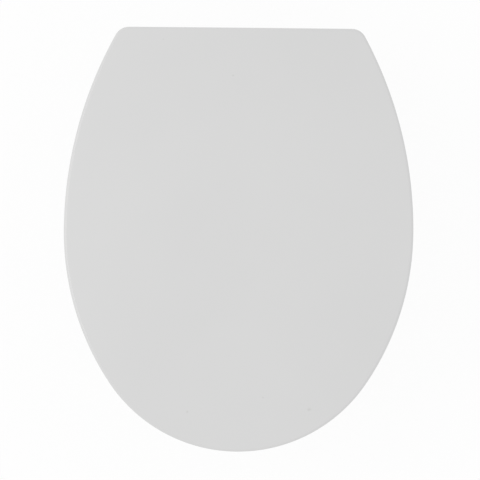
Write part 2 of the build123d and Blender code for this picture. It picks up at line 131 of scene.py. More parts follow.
def newFinish(name, constants):  # a material with its constants set, and places in the piece's own space
    material = bpy.data.materials.new(name)
    material.use_nodes = True
    shader = material.node_tree.nodes["Principled BSDF"]
    for socket, value in constants.items():
        shader.inputs[socket].default_value = value
    wire = Wire(material.node_tree)
    return material, shader, wire, wire.node("TexCoord", output="Object")


def feed(shader, wires):
    for socket, wire in wires.items():
        wire.tree.links.new(wire.socket, shader.inputs[socket])


noiseMean = 0.5


def noise(wire, place, scale, detail=2.0, roughness=0.5):
    inputs = {"Vector": place, "Scale": scale, "Detail": detail, "Roughness": roughness}
    return wire.node("TexNoise", {}, inputs)


def tinted(wire, factor, first, second):  # between two colours
    return wire.node("Mix", {"data_type": "RGBA"}, {0: factor, 6: first, 7: second}, output=2)


def ramped(wire, value, start, end, first, last, kind="LINEAR"):  # first at start, last at end
    inputs = {0: value, 1: start, 2: end, 3: first, 4: last}
    return wire.node("MapRange", {"interpolation_type": kind}, inputs)


def bumped(wire, height, strength, depth):
    return wire.node("Bump", {}, {"Strength": strength, "Distance": depth, "Height": height})


def distance(wire, place, point):
    return wire.node("VectorMath", {"operation": "DISTANCE"}, {0: place, 1: point}, output="Value")


# Finishes. A noise is given by its scale, detail and roughness, and a bump by its strength and depth.

thermosetLook = {
    "constants": {"IOR": 1.52},
    "tints": ((0.729, 0.729, 0.728, 1), (0.773, 0.773, 0.771, 1)),
    "clouds": (6.0, 3.0),
    "gloss": 0.17,
    "glossDrift": 0.06,
    "rubbed": (48.0, 4.0, 0.65),
    "peel": (360.0, 1.0),
    "peelShare": 0.12,
    "waves": (16.0, 1.0),
    "bump": (0.12, 0.4 * mm),
    "speckTint": (0.66, 0.66, 0.65, 1),
    "ragged": (700.0, 2.0),
    "specks": [  # x, y and radius of the few marks on the lid
        (76.5 * mm, -359 * mm, 2.5 * mm),
        (-52.3 * mm, -362.8 * mm, 1.7 * mm),
        (27.4 * mm, -346.7 * mm, 1.2 * mm),
        (-7.4 * mm, -7.2 * mm, 1.4 * mm),
        (-81.5 * mm, 30.6 * mm, 0.9 * mm),
    ],
}


def whiteThermoset(name, look):  # glossy white with a faint orange peel and a few specks
    material, shader, wire, place = newFinish(name, look["constants"])
    white = tinted(wire, noise(wire, place, *look["clouds"]), *look["tints"])
    ragged = noise(wire, place, *look["ragged"]) - noiseMean
    specked = 0.0
    for x, y, radius in look["specks"]:
        away = distance(wire, place, (x, y, crownHeight(x, y)))
        specked = ramped(wire, away + radius * ragged, 0.0, radius, 1.0, 0.0) + specked
    rubbed = noise(wire, place, *look["rubbed"]) - noiseMean
    swell = look["peelShare"] * noise(wire, place, *look["peel"]) + noise(wire, place, *look["waves"])
    feed(shader, {
        "Base Color": tinted(wire, specked, white, look["speckTint"]),
        "Roughness": look["gloss"] + look["glossDrift"] * rubbed,
        "Normal": bumped(wire, swell, *look["bump"]),
    })
    return material


def cloudedFinish(name, look):  # soft clouds of tint and gloss over a fine grain
    material, shader, wire, place = newFinish(name, look["constants"])
    clouds = noise(wire, place, *look["clouds"])
    grain = noise(wire, place, *look["grain"])
    feed(shader, {
        "Base Color": tinted(wire, clouds, *look["tints"]),
        "Roughness": look["rough"] + look["roughDrift"] * clouds,
        "Normal": bumped(wire, grain, *look["bump"]),
    })
    return material


bufferLook = {
    "constants": {"IOR": 1.5},
    "tints": ((0.57, 0.57, 0.55, 1), (0.66, 0.66, 0.64, 1)),
    "clouds": (60.0, 3.0),
    "grain": (900.0, 3.0),
    "rough": 0.5,
    "roughDrift": 0.14,
    "bump": (0.25, 0.1 * mm),
}

gasketLook = {  # black, with a pale bloom
    "constants": {"IOR": 1.5},
    "tints": ((0.022, 0.022, 0.023, 1), (0.05, 0.05, 0.05, 1)),
    "clouds": (110.0, 4.0, 0.6),
    "grain": (1100.0, 3.0),
    "rough": 0.55,
    "roughDrift": 0.2,
    "bump": (0.3, 0.12 * mm),
}

chromeLook = {  # a haze over the bright metal, and the slow waves of a polished casting
    "constants": {"Metallic": 1.0},
    "tints": ((0.80, 0.81, 0.83, 1), (0.70, 0.71, 0.73, 1)),
    "clouds": (130.0, 5.0, 0.62),
    "grain": (70.0, 1.0),
    "rough": 0.05,
    "roughDrift": 0.09,
    "bump": (0.1, 0.15 * mm),
}

nylonLook = {
    "constants": {
        "IOR": 1.53,
        "Subsurface Weight": 0.15,
        "Subsurface Radius": (1.5 * mm, 1.3 * mm, 1.0 * mm),
    },
    "tints": ((0.68, 0.665, 0.61, 1), (0.76, 0.75, 0.71, 1)),
    "clouds": (85.0, 3.0),
    "grain": (1400.0, 2.0),
    "rough": 0.38,
    "roughDrift": 0.14,
    "bump": (0.2, 0.08 * mm),
}

damperLook = {
    "constants": {"IOR": 1.49},
    "tints": ((0.26, 0.265, 0.28, 1), (0.33, 0.34, 0.36, 1)),
    "clouds": (120.0, 3.0),
    "grain": (1600.0, 2.0),
    "rough": 0.36,
    "roughDrift": 0.16,
    "bump": (0.2, 0.06 * mm),
}

steelLook = {
    "constants": {"Metallic": 1.0},
    "tints": ((0.64, 0.64, 0.63, 1), (0.48, 0.475, 0.46, 1)),
    "spangleScale": 420.0,
    "spangleShare": 0.6,
    "drag": (260.0, 4.0, 0.6),
    "dragShare": 0.4,
    "rough": 0.24,
    "roughDrift": 0.16,
    "bump": (0.15, 0.05 * mm),
}


def studSteel(name, look):  # zinc plate, with small spangles and drag marks
    material, shader, wire, place = newFinish(name, look["constants"])
    cells = wire.node("TexVoronoi", {}, {"Vector": place, "Scale": look["spangleScale"]}, output="Color")
    spangle = wire.node("SeparateColor", {}, {0: cells})
    drag = noise(wire, place, *look["drag"])
    dulled = look["spangleShare"] * spangle + look["dragShare"] * drag
    feed(shader, {
        "Base Color": tinted(wire, dulled, *look["tints"]),
        "Roughness": look["rough"] + look["roughDrift"] * drag,
        "Normal": bumped(wire, drag, *look["bump"]),
    })
    return material


finishes = {
    "white_thermoset": whiteThermoset("white thermoset", thermosetLook),
    "buffer_rubber": cloudedFinish("buffer rubber", bufferLook),
    "gasket_rubber": cloudedFinish("gasket rubber", gasketLook),
    "bracket_chrome": cloudedFinish("bracket chrome", chromeLook),
    "stud_steel": studSteel("stud steel", steelLook),
    "nut_nylon": cloudedFinish("nut nylon", nylonLook),
    "damper_plastic": cloudedFinish("damper plastic", damperLook),
}
nodeSlots = {row["node"]: row["material_slot"] for row in frame["record"]["subparts"]}
for node, slotName in nodeSlots.items():
    frame["nodes"][node].data.materials.clear()
    frame["nodes"][node].data.materials.append(finishes[slotName])
print("finishes made:", ", ".join(finishes))


# Mesh tools

def newPiece(name, shape):  # a mesh object from a bmesh
    bmesh.ops.recalc_face_normals(shape, faces=shape.faces)
    mesh = bpy.data.meshes.new(name)
    shape.to_mesh(mesh)
    shape.free()
    piece = bpy.data.objects.new(name, mesh)
    bpy.context.scene.collection.objects.link(piece)
    return piece


def settle(piece):  # turns the modifiers into mesh
    graph = bpy.context.evaluated_depsgraph_get()
    made = bpy.data.meshes.new_from_object(piece.evaluated_get(graph))
    piece.modifiers.clear()
    piece.data = made


def carve(piece, tool, operation):  # joins or cuts with another closed mesh, which is used up
    change = piece.modifiers.new("carve", "BOOLEAN")
    change.operation = operation
    change.solver = "EXACT"
    change.object = tool
    settle(piece)
    bpy.data.objects.remove(tool)


def dress(piece, node, body, sharpAngle=35):  # shading, finish and place in the frame
    for face in piece.data.polygons:
        face.use_smooth = True
    piece.data.set_sharp_from_angle(angle=radians(sharpAngle))
    weigh = piece.modifiers.new("flats first", "WEIGHTED_NORMAL")
    weigh.keep_sharp = True
    settle(piece)
    piece.data.materials.clear()
    piece.data.materials.append(finishes[nodeSlots[node]])
    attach(piece, body)
    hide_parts(node)


def skin(shape, loops):  # quads between neighbouring loops of points
    rings = [[shape.verts.new(point) for point in loop] for loop in loops]
    for low, high in zip(rings, rings[1:]):
        for k in range(len(low)):
            shape.faces.new((low[k - 1], low[k], high[k], high[k - 1]))
    return rings


def solid(shape, loops):  # a skin with a flat face at each end
    rings = skin(shape, loops)
    shape.faces.new(rings[0])
    shape.faces.new(rings[-1])


def solidPiece(name, loops):
    shape = bmesh.new()
    solid(shape, loops)
    return newPiece(name, shape)


def fan(shape, ring, point):  # closes a ring at one point
    tip = shape.verts.new(point)
    for k in range(len(ring)):
        shape.faces.new((ring[k - 1], ring[k], tip))


def flatFill(shape, rings):  # a flat face between rings, the inner ones as holes
    edges = [shape.edges.get((ring[k - 1], ring[k])) for ring in rings for k in range(len(ring))]
    bmesh.ops.triangle_fill(shape, use_beauty=True, edges=edges)


def roundEdges(shape, width, segments=3, fromAngle=40):
    sharp = [edge for edge in shape.edges if edge.calc_face_angle(0) > radians(fromAngle)]
    bmesh.ops.bevel(shape, geom=sharp, offset=width, segments=segments, profile=0.5, affect="EDGES")


def prism(name, outline, start, length, edge=0.0, along="x"):  # an outline drawn out along x or y
    shape = bmesh.new()
    ends = (start, start + length)
    if along == "x":
        loops = [[Vector((end, u, v)) for u, v in outline] for end in ends]
    else:
        loops = [[Vector((u, end, v)) for u, v in outline] for end in ends]
    solid(shape, loops)
    bmesh.ops.recalc_face_normals(shape, faces=shape.faces)
    if edge:
        roundEdges(shape, edge)
    return newPiece(name, shape)


def arcOf(centre, radius, start, sweep, steps):  # points (u, v) of an arc, both ends included
    turns = [radians(start + sweep * k / steps) for k in range(steps + 1)]
    return [(centre[0] + radius * cos(a), centre[1] + radius * sin(a)) for a in turns]


def hullOf(first, second, steps=24):  # outline of a band held round two circles (u, v, radius)
    gap = hypot(second[0] - first[0], second[1] - first[1])
    lean = degrees(atan2(second[1] - first[1], second[0] - first[0]))
    spread = degrees(atan2(sqrt(gap**2 - (first[2] - second[2]) ** 2), first[2] - second[2]))
    around = arcOf(first[:2], first[2], lean + spread, 360 - 2 * spread, steps)
    return around + arcOf(second[:2], second[2], lean - spread, 2 * spread, steps)


# Outlines are rings of arcs. An arc's run is the number of steps in the straight line after it.
# A sweep below zero is a hollow corner, and an inset moves every arc and line in by the same amount.
Arc = namedtuple("Arc", "centre radius start sweep steps run", defaults=[0])


def wholeCircle(centre, radius, steps):
    return [Arc(centre, radius, 0, 360, steps)]


def loopPoints(arcs, inset=0.0):
    bends = []
    for arc in arcs:
        reach = arc.radius - inset if arc.sweep > 0 else arc.radius + inset
        bends.append([Vector(point) for point in arcOf(arc.centre, reach, arc.start, arc.sweep, arc.steps)])
    points = []
    for arc, bend, follower in zip(arcs, bends, bends[1:] + bends[:1]):
        points += bend[:-1]
        points += [bend[-1].lerp(follower[0], k / arc.run) for k in range(arc.run)]
    return points


def atHeight(points, z):
    return [Vector((point.x, point.y, z)) for point in points]


def bothSides(front, right, rear=()):  # the right half of a ring, then its mirror image back to the front
    runs = [front.run] + [arc.run for arc in right[:-1]]
    left = []
    for arc, run in zip(reversed(right), reversed(runs)):
        mirrored = (-arc.centre[0], arc.centre[1])
        left.append(Arc(mirrored, arc.radius, 180 - arc.start - arc.sweep, arc.sweep, arc.steps, run))
    return [front, *right, *rear, *left]


def endRadii(half, length, arcAngle):  # end arc and side arc of a round end
    s, c = sin(radians(arcAngle)), cos(radians(arcAngle))
    step = (length - half) / (s + c - 1)
    return half - step * (1 - s), half + step * s


def quarterRound(arcs, insets, heights, steps=3):  # loops of a rounded edge between two loops
    loops = []
    for k in range(steps + 1):
        turn = pi / 2 * k / steps
        inset = insets[0] + (insets[1] - insets[0]) * (1 - cos(turn))
        height = heights[0] + (heights[1] - heights[0]) * sin(turn)
        loops.append(atHeight(loopPoints(arcs, inset), height))
    return loops


def pegLoops(centre, radius, low, high, tipRound=0.0, steps=40):  # a round stem, or its hole
    arcs = wholeCircle(centre, radius, steps)
    base = [atHeight(loopPoints(arcs), low)]
    if tipRound:
        return base + quarterRound(arcs, (0, tipRound), (high - tipRound, high))
    return base + [atHeight(loopPoints(arcs), high)]


# The outline that the lid and the ring share, seen from above

outlineShape = {
    "widestFromRear": 215.5 * mm,
    "rearWidth": 255 * mm,
    "rearCorner": 16 * mm,
    "frontArc": 56,  # half the angle that the front arc spans
    "frontSteps": 72,
    "sideFrontSteps": 24,
    "sideRearSteps": 32,
    "cornerSteps": 14,
}
halfWidth = lidHigh.x
widestY = lidHigh.y - outlineShape["widestFromRear"]
frontArc = outlineShape["frontArc"]
frontRadius, sideFrontRadius = endRadii(halfWidth, widestY - lidLow.y, frontArc)
sideBow = halfWidth - outlineShape["rearWidth"] / 2
sideRearRadius = (sideBow**2 + outlineShape["widestFromRear"] ** 2) / (2 * sideBow)


def seatArcs(inset, rearY, corner, rearRun):  # the outline, moved in and cut off at rearY
    size = outlineShape
    frontCentre = (0, lidLow.y + frontRadius)
    sideFrontCentre = (halfWidth - sideFrontRadius, widestY)
    sideCentre = (halfWidth - sideRearRadius, widestY)
    rise = rearY - corner - widestY
    run = sqrt((sideRearRadius - inset - corner) ** 2 - rise**2)
    turn = degrees(atan2(rise, run))
    cornerCentre = (sideCentre[0] + run, rearY - corner)
    sideFront = sideFrontRadius - inset
    front = Arc(frontCentre, frontRadius - inset, -90 - frontArc, 2 * frontArc, size["frontSteps"])
    right = [
        Arc(sideFrontCentre, sideFront, frontArc - 90, 90 - frontArc, size["sideFrontSteps"]),
        Arc(sideCentre, sideRearRadius - inset, 0, turn, size["sideRearSteps"]),
        Arc(cornerCentre, corner, turn, 90 - turn, size["cornerSteps"], rearRun),
    ]
    return front, right


# Holes on the hinge line: one for a damper's flatted shaft and one for a bush

socketShape = {
    "depth": 14 * mm,
    "shaftRadius": 3.05 * mm,
    "shaftFlat": 2.3 * mm,
    "shaftSteps": 10,
    "bushRadius": 4.5 * mm,
    "bushSteps": 40,
}


def drillSockets(piece, face, inward):  # the lid's lugs and the ring's ears have opposite hands
    size, centre = socketShape, (hingeY, hingeZ)
    radius, flat = size["shaftRadius"], size["shaftFlat"]
    lean = degrees(atan2(sqrt(radius**2 - flat**2), flat))
    shaft = arcOf(centre, radius, lean, 180 - 2 * lean, size["shaftSteps"])
    shaft += arcOf(centre, radius, 180 + lean, 180 - 2 * lean, size["shaftSteps"])
    bush = arcOf(centre, size["bushRadius"], 0, 360, size["bushSteps"])[:-1]
    outlines = (bush, shaft) if inward else (shaft, bush)
    for side, outline in zip(sideSigns.values(), outlines):
        way = -side if inward else side  # from the face into the piece
        ends = (side * face - way * spare, side * face + way * size["depth"])
        carve(piece, prism("socket", outline, min(ends), abs(ends[1] - ends[0])), "DIFFERENCE")


# Lid

lidShape = {
    "rimZ": 32 * mm,
    "rimWall": 4.5 * mm,
    "rimRound": 0.7 * mm,
    "rearRun": 44,
    "plate": 5.5 * mm,
    "edgeRadius": 3.5 * mm,
    "edgeSteps": 12,
    "innerRadius": 3 * mm,
    "innerSteps": 6,
    "crownShares": (0.985, 0.95, 0.9, 0.83, 0.74, 0.64, 0.53, 0.42, 0.31, 0.2, 0.1),
    "notchWidth": 35 * mm,
    "notchDrop": 2 * mm,
    "notchRound": 1.5 * mm,
    "lugRadius": 8.5 * mm,
    "lugStart": 94.5 * mm,
    "lugLength": 18 * mm,
    "lugSteps": 24,
    "lugRound": 0.8 * mm,
    "ribLength": 46 * mm,
    "ribThickness": 6 * mm,
    "bossRadius": 11 * mm,
    "bossSteps": 56,
    "bossZ": 35.5 * mm,
    "stemRadius": 3 * mm,
    "stemLength": 6 * mm,
}
rimY = lidHigh.y - lidShape["rimWall"] / 2  # the middle of the rear rim


def rolledEdge(arcs, inset, radius, depth, steps):  # a ball rolled along the corner of wall and crown
    wall = loopPoints(arcs, inset)
    ball = loopPoints(arcs, inset + radius)
    loops = []
    for k in range(steps + 1):
        turn = pi / 2 * k / steps
        loop = []
        for outer, inner in zip(wall, ball):
            centre = Vector((inner.x, inner.y, crownHeight(inner.x, inner.y, depth + radius)))
            out = Vector((outer.x - inner.x, outer.y - inner.y, 0)).normalized()
            up = (centre - crownCentre).normalized()
            loop.append(centre + radius * (cos(turn) * out + sin(turn) * up).normalized())
        loops.append(loop)
    return loops


def crownLoops(rim, depth):  # loops that close in over the crown
    loops = []
    for share in lidShape["crownShares"]:
        loop = []
        for point in rim:
            x = share * point.x
            y = crownCentre.y + share * (point.y - crownCentre.y)
            loop.append(Vector((x, y, crownHeight(x, y, depth))))
        loops.append(loop)
    return loops


def lidShell():  # from the middle of the underside, out over the rim and back to the middle of the top
    size = lidShape
    arcs = bothSides(*seatArcs(0, lidHigh.y, outlineShape["rearCorner"], size["rearRun"]))
    rimZ, wall, small = size["rimZ"], size["rimWall"], size["rimRound"]
    inner = rolledEdge(arcs, wall, size["innerRadius"], size["plate"], size["innerSteps"])
    outer = rolledEdge(arcs, 0, size["edgeRadius"], 0, size["edgeSteps"])
    loops = crownLoops(inner[-1], size["plate"])[::-1] + inner[::-1]
    loops += quarterRound(arcs, (wall, wall - small), (rimZ + small, rimZ))
    loops += quarterRound(arcs, (0, small), (rimZ + small, rimZ))[::-1]
    loops += outer + crownLoops(outer[-1], 0)
    shape = bmesh.new()
    rings = skin(shape, loops)
    x, y = crownCentre.xy
    fan(shape, rings[0], (x, y, crownHeight(x, y, size["plate"])))
    fan(shape, rings[-1], (x, y, crownHeight(x, y)))
    return newPiece("lid_shell", shape)


def openRim(lid, side):  # the rear rim is open over each bracket's knuckle
    size = lidShape
    top = crownHeight(fixingX, hingeY, size["plate"])
    low, rear, width = size["rimZ"] - size["notchDrop"], rimY + size["rimWall"], size["notchWidth"]
    outline = [(hingeY, low), (rear, low), (rear, top), (hingeY, top)]
    notch = prism("notch", outline, side * fixingX - width / 2, width, size["notchRound"])
    carve(lid, notch, "DIFFERENCE")


def addLug(lid, side):  # a lug closed on to the rear rim, and a tapered rib from it to the plate
    size = lidShape
    radius, length, rimZ = size["lugRadius"], size["lugLength"], size["rimZ"]
    start = size["lugStart"] if side > 0 else -size["lugStart"] - length
    top = crownHeight(size["lugStart"] + length, lidHigh.y, size["plate"] / 2)
    around = arcOf((hingeY, hingeZ), radius, 180, 180, size["lugSteps"])
    corners = [(hingeY + radius, rimZ), (rimY, rimZ), (rimY, top), (hingeY - radius, top)]
    carve(lid, prism("lug", around + corners, start, length, size["lugRound"]), "UNION")
    ribStart = start + (length - size["ribThickness"]) / 2
    ribY = hingeY - radius
    outline = [(ribY + spare, hingeZ), (ribY + spare, top), (ribY - size["ribLength"], top)]
    carve(lid, prism("rib", outline, ribStart, size["ribThickness"], size["lugRound"]), "UNION")


def addBoss(lid, name):  # a boss over a buffer, with the hole for its stem
    size = lidShape
    middle = middleOf("lid_buffer_" + name)
    small, bossZ = size["rimRound"], size["bossZ"]
    bossTop = crownHeight(middle.x, middle.y, size["plate"] / 2)
    arcs = wholeCircle(middle.xy, size["bossRadius"], size["bossSteps"])
    loops = quarterRound(arcs, (0, small), (bossZ + small, bossZ))[::-1]
    carve(lid, solidPiece("boss", loops + [atHeight(loopPoints(arcs), bossTop)]), "UNION")
    hole = pegLoops(middle.xy, size["stemRadius"], bossZ - spare, bossZ + size["stemLength"])
    carve(lid, solidPiece("hole", hole), "DIFFERENCE")


def lidPiece():
    lid = lidShell()
    for name, side in sideSigns.items():
        openRim(lid, side)
        addLug(lid, side)
        addBoss(lid, name)
    drillSockets(lid, lidShape["lugStart"], inward=False)
    dress(lid, "lid", "lid")
    return lid


lid = lidPiece()
print("lid made with", len(lid.data.polygons), "faces")


# Ring

ringShape = {
    "inset": 2 * mm,
    "rearY": -12 * mm,
    "rearRun": 8,
    "corner": 14 * mm,
    "tongueHalf": 60.5 * mm,
    "tongueRearY": 12 * mm,
    "tongueSteps": 12,
    "tongueRun": 12,
    "notchCorner": 2 * mm,
    "notchSteps": 5,
    "notchRun": 3,
    "topZ": 30 * mm,
    "edgeRadius": 8 * mm,
    "edgeSteps": 12,
    "support": 1 * mm,  # a narrow flat strip that keeps the rounded edges smooth
    "footRound": 1.2 * mm,
    "wall": 7 * mm,
    "channelDepth": 12 * mm,
    "channelCorner": 6 * mm,
    "channelRun": 24,
    "channelFillet": 2 * mm,
    "filletSteps": 5,
    "channelRound": 0.7 * mm,
    "openingHalf": 113 * mm,
    "openingRear": 120 * mm,
    "openingFront": 158 * mm,
    "openingArc": 52,  # half the angle that each end arc spans
    "openingFrontSteps": 64,
    "openingSideSteps": 24,
    "openingRearSteps": 48,
    "openingRadius": 15 * mm,
    "openingEdgeSteps": 16,
    "rearBand": 47 * mm,
    "earStart": 36.5 * mm,
    "earLength": 24 * mm,
    "earRadius": 8.5 * mm,
    "earRoot": (4 * mm, 22 * mm, 6 * mm),  # y, z and radius
    "earRound": 1.5 * mm,
    "bossMargin": 3 * mm,
}

padShape = {
    "length": 40 * mm,
    "width": 16 * mm,
    "endSteps": 16,
    "sideRun": 6,
    "round": 2.2 * mm,
    "roundSteps": 6,
    "rim": 0.3 * mm,
    "stemRadius": 2.5 * mm,
    "stemSpacing": 20 * mm,
    "stemLength": 8 * mm,
    "stemRound": 0.4 * mm,
    "turns": {"front_left": -44, "front_right": 44, "rear_left": 78, "rear_right": 102},
}
stemOffsets = (-padShape["stemSpacing"] / 2, padShape["stemSpacing"] / 2)


def ringArcs():  # the plan, with a tongue between the brackets
    size = ringShape
    small, half, corner = size["notchCorner"], size["tongueHalf"], size["corner"]
    front, right = seatArcs(size["inset"], size["rearY"], corner, size["rearRun"])
    notchCentre = (half + small, size["rearY"] + small)
    tongueCentre = (half - corner, size["tongueRearY"] - corner)
    notch = Arc(notchCentre, small, 270, -90, size["notchSteps"], size["notchRun"])
    tongue = Arc(tongueCentre, corner, 0, 90, size["tongueSteps"], size["tongueRun"])
    return bothSides(front, right + [notch, tongue])


def channelArcs():  # the hollow under the ring
    size = ringShape
    inset, rearY = size["inset"] + size["wall"], size["rearY"] - size["wall"]
    return bothSides(*seatArcs(inset, rearY, size["channelCorner"], size["channelRun"]))


def openingArcs():
    size = ringShape
    half, arc = size["openingHalf"], size["openingArc"]
    y = size["rearY"] - size["rearBand"] - size["openingRear"]
    frontEnd, frontSide = endRadii(half, size["openingFront"], arc)
    rearEnd, rearSide = endRadii(half, size["openingRear"], arc)
    frontCentre = (0, y - size["openingFront"] + frontEnd)
    rearCentre = (0, y + size["openingRear"] - rearEnd)
    front = Arc(frontCentre, frontEnd, -90 - arc, 2 * arc, size["openingFrontSteps"])
    right = [
        Arc((half - frontSide, y), frontSide, arc - 90, 90 - arc, size["openingSideSteps"]),
        Arc((half - rearSide, y), rearSide, 0, 90 - arc, size["openingSideSteps"]),
    ]
    rear = Arc(rearCentre, rearEnd, 90 - arc, 2 * arc, size["openingRearSteps"])
    return bothSides(front, right, [rear])


def padArcs(margin=0.0):  # a long pad with round ends, about the origin
    size = padShape
    length, width = size["length"] + 2 * margin, size["width"] + 2 * margin
    offset, radius = (length - width) / 2, width / 2
    return [
        Arc((offset, 0), radius, -90, 180, size["endSteps"], size["sideRun"]),
        Arc((-offset, 0), radius, 90, 180, size["endSteps"], size["sideRun"]),
    ]


def placed(loops, name):  # loops about the origin, turned and moved to a seat buffer's place
    middle = middleOf("seat_buffer_" + name)
    turn = Matrix.Rotation(radians(padShape["turns"][name]), 4, "Z")
    return [[turn @ point + Vector((middle.x, middle.y, 0)) for point in loop] for loop in loops]


# In the next two functions way is 1 where the solid lies inside the outline and -1 where it lies around it

def wallLoops(arcs, way, edge, steps):  # a wall from the underside to the flat top
    size = ringShape
    low, high, foot = ringLow.z, size["topZ"], size["footRound"]
    loops = quarterRound(arcs, (0, way * foot), (low + foot, low))[::-1]
    loops += quarterRound(arcs, (0, way * edge), (high - edge, high), steps)
    return loops + [atHeight(loopPoints(arcs, way * (edge + size["support"])), high)]


def channelLoops(arcs, start, way):  # a wall from the underside to the channel's ceiling
    size = ringShape
    low, small, fillet = ringLow.z, size["channelRound"], size["channelFillet"]
    ceiling = low + size["channelDepth"]
    loops = quarterRound(arcs, (start, start + way * small), (low + small, low))[::-1]
    insets = (start, start - way * fillet)
    return loops + quarterRound(arcs, insets, (ceiling - fillet, ceiling), size["filletSteps"])


def addEars(ring):  # ears that carry the ring on the hinge line
    size = ringShape
    ear = hullOf((hingeY, hingeZ, size["earRadius"]), size["earRoot"])
    for side in sideSigns.values():
        start = size["earStart"] if side > 0 else -size["earStart"] - size["earLength"]
        carve(ring, prism("ear", ear, start, size["earLength"], size["earRound"]), "UNION")


def drillStemHoles(ring):  # two holes for each buffer
    size, low = padShape, ringLow.z
    holes = bmesh.new()
    for name in size["turns"]:
        for offset in stemOffsets:
            hole = pegLoops((offset, 0), size["stemRadius"], low - spare, low + size["stemLength"])
            solid(holes, placed(hole, name))
    carve(ring, newPiece("holes", holes), "DIFFERENCE")


def ringPiece():
    size = ringShape
    opening = openingArcs()
    shape = bmesh.new()

    # outer wall, wall of the opening and the flat top between them
    outerRings = skin(shape, wallLoops(ringArcs(), 1, size["edgeRadius"], size["edgeSteps"]))
    innerRings = skin(shape, wallLoops(opening, -1, size["openingRadius"], size["openingEdgeSteps"]))
    flatFill(shape, [outerRings[-1], innerRings[-1]])

    # walls of the channel and the flat underside beside them
    channelOuter = skin(shape, channelLoops(channelArcs(), 0, -1))
    channelInner = skin(shape, channelLoops(opening, -size["wall"], 1))
    flatFill(shape, [outerRings[0], channelOuter[0]])
    flatFill(shape, [channelInner[0], innerRings[0]])

    # a boss over each buffer, and the channel's ceiling round them
    bossLoops = channelLoops(padArcs(size["bossMargin"]), 0, 1)
    bossRings = [skin(shape, placed(bossLoops, name)) for name in padShape["turns"]]
    for rings in bossRings:
        shape.faces.new(rings[0])
    flatFill(shape, [channelOuter[-1], channelInner[-1]] + [rings[-1] for rings in bossRings])

    ring = newPiece("ring_shell", shape)
    addEars(ring)
    drillSockets(ring, size["tongueHalf"], inward=True)
    drillStemHoles(ring)
    dress(ring, "seat_ring", "ring")
    return ring


ring = ringPiece()
print("ring made with", len(ring.data.polygons), "faces")


# Buffers

def padLoops(arcs, size, low, high):  # a pad with a rounded foot and a slightly rounded rim
    loops = quarterRound(arcs, (0, size["round"]), (low + size["round"], low), size["roundSteps"])[::-1]
    return loops + quarterRound(arcs, (0, size["rim"]), (high - size["rim"], high))


def seatBuffer(name):
    size = padShape
    node = "seat_buffer_" + name
    low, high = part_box(node)[0].z, ringLow.z
    pad = solidPiece(name + "_seat_pad", placed(padLoops(padArcs(), size, low, high), name))
    for offset in stemOffsets:
        stemTop = high + size["stemLength"]
        stem = pegLoops((offset, 0), size["stemRadius"], high - spare, stemTop, size["stemRound"])
        carve(pad, solidPiece("stem", placed(stem, name)), "UNION")
    dress(pad, node, "ring")


lidPadShape = {"steps": 56, "round": 1.6 * mm, "roundSteps": 6, "rim": 0.3 * mm, "stemRound": 0.5 * mm}


def lidBuffer(name):
    size = lidPadShape
    node = "lid_buffer_" + name
    low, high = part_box(node)
    middle, radius = (low + high) / 2, (high.x - low.x) / 2
    bossZ = lidShape["bossZ"]
    arcs = wholeCircle(middle.xy, radius, size["steps"])
    pad = solidPiece(name + "_lid_pad", padLoops(arcs, size, low.z, bossZ))
    stem = pegLoops(middle.xy, lidShape["stemRadius"], bossZ - spare, high.z, size["stemRound"])
    carve(pad, solidPiece("stem", stem), "UNION")
    dress(pad, node, "lid")


for padName in padShape["turns"]:
    seatBuffer(padName)
for sideName in sideSigns:
    lidBuffer(sideName)
print("buffers made")


# Brackets

bracketShape = {"weld": 0.002 * mm, "sharpAngle": 30}


def castBracket(name):  # the solid as one smooth skin
    node = "hinge_bracket_" + name
    shape = bmesh.new()
    shape.from_mesh(frame["nodes"][node].data)
    bmesh.ops.remove_doubles(shape, verts=shape.verts, dist=bracketShape["weld"])
    dress(newPiece(name + "_bracket", shape), node, "base", bracketShape["sharpAngle"])


# Fixings: gasket, cone, washer, wing nut and stud on each bracket

def softened(points, radius, steps=4):  # a closed section with its corners rounded
    points = [Vector(point) for point in points]
    rounded = []
    for before, corner, after in zip(points[-1:] + points[:-1], points, points[1:] + points[:1]):
        start = corner + (before - corner).normalized() * min(radius, (before - corner).length / 2)
        end = corner + (after - corner).normalized() * min(radius, (after - corner).length / 2)
        for k in range(steps + 1):
            t = k / steps
            rounded.append((1 - t) ** 2 * start + 2 * t * (1 - t) * corner + t**2 * end)
    return rounded


def turned(name, section, x, steps=72):  # a closed section of (radius, height) turned about a fixing
    shape = bmesh.new()
    loops = []
    for k in range(steps):
        c, s = cos(2 * pi * k / steps), sin(2 * pi * k / steps)
        loops.append([Vector((x + radius * c, radius * s, height)) for radius, height in section])
    rings = skin(shape, loops)
    for k in range(len(section)):
        shape.faces.new((rings[-1][k - 1], rings[-1][k], rings[0][k], rings[0][k - 1]))
    return newPiece(name, shape)


threadBore = 3.8 * mm  # of what goes on the stud's thread

gasketShape = {"bore": 5.5 * mm, "round": 0.5 * mm}
washerShape = {"bore": threadBore, "round": 0.3 * mm}


def flatWasher(name, node, x, size):
    low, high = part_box(node)
    rim, bore = (high.x - low.x) / 2, size["bore"]
    section = [(bore, low.z), (rim, low.z), (rim, high.z), (bore, high.z)]
    dress(turned(name, softened(section, size["round"]), x), node, "base")


def baseGasket(name, x):
    flatWasher(name + "_gasket", "base_gasket_" + name, x, gasketShape)


def studWasher(name, x):
    flatWasher(name + "_washer", "stud_washer_" + name, x, washerShape)


coneShape = {"bore": threadBore, "tip": 6 * mm, "shoulderZ": -22 * mm, "round": 0.6 * mm}


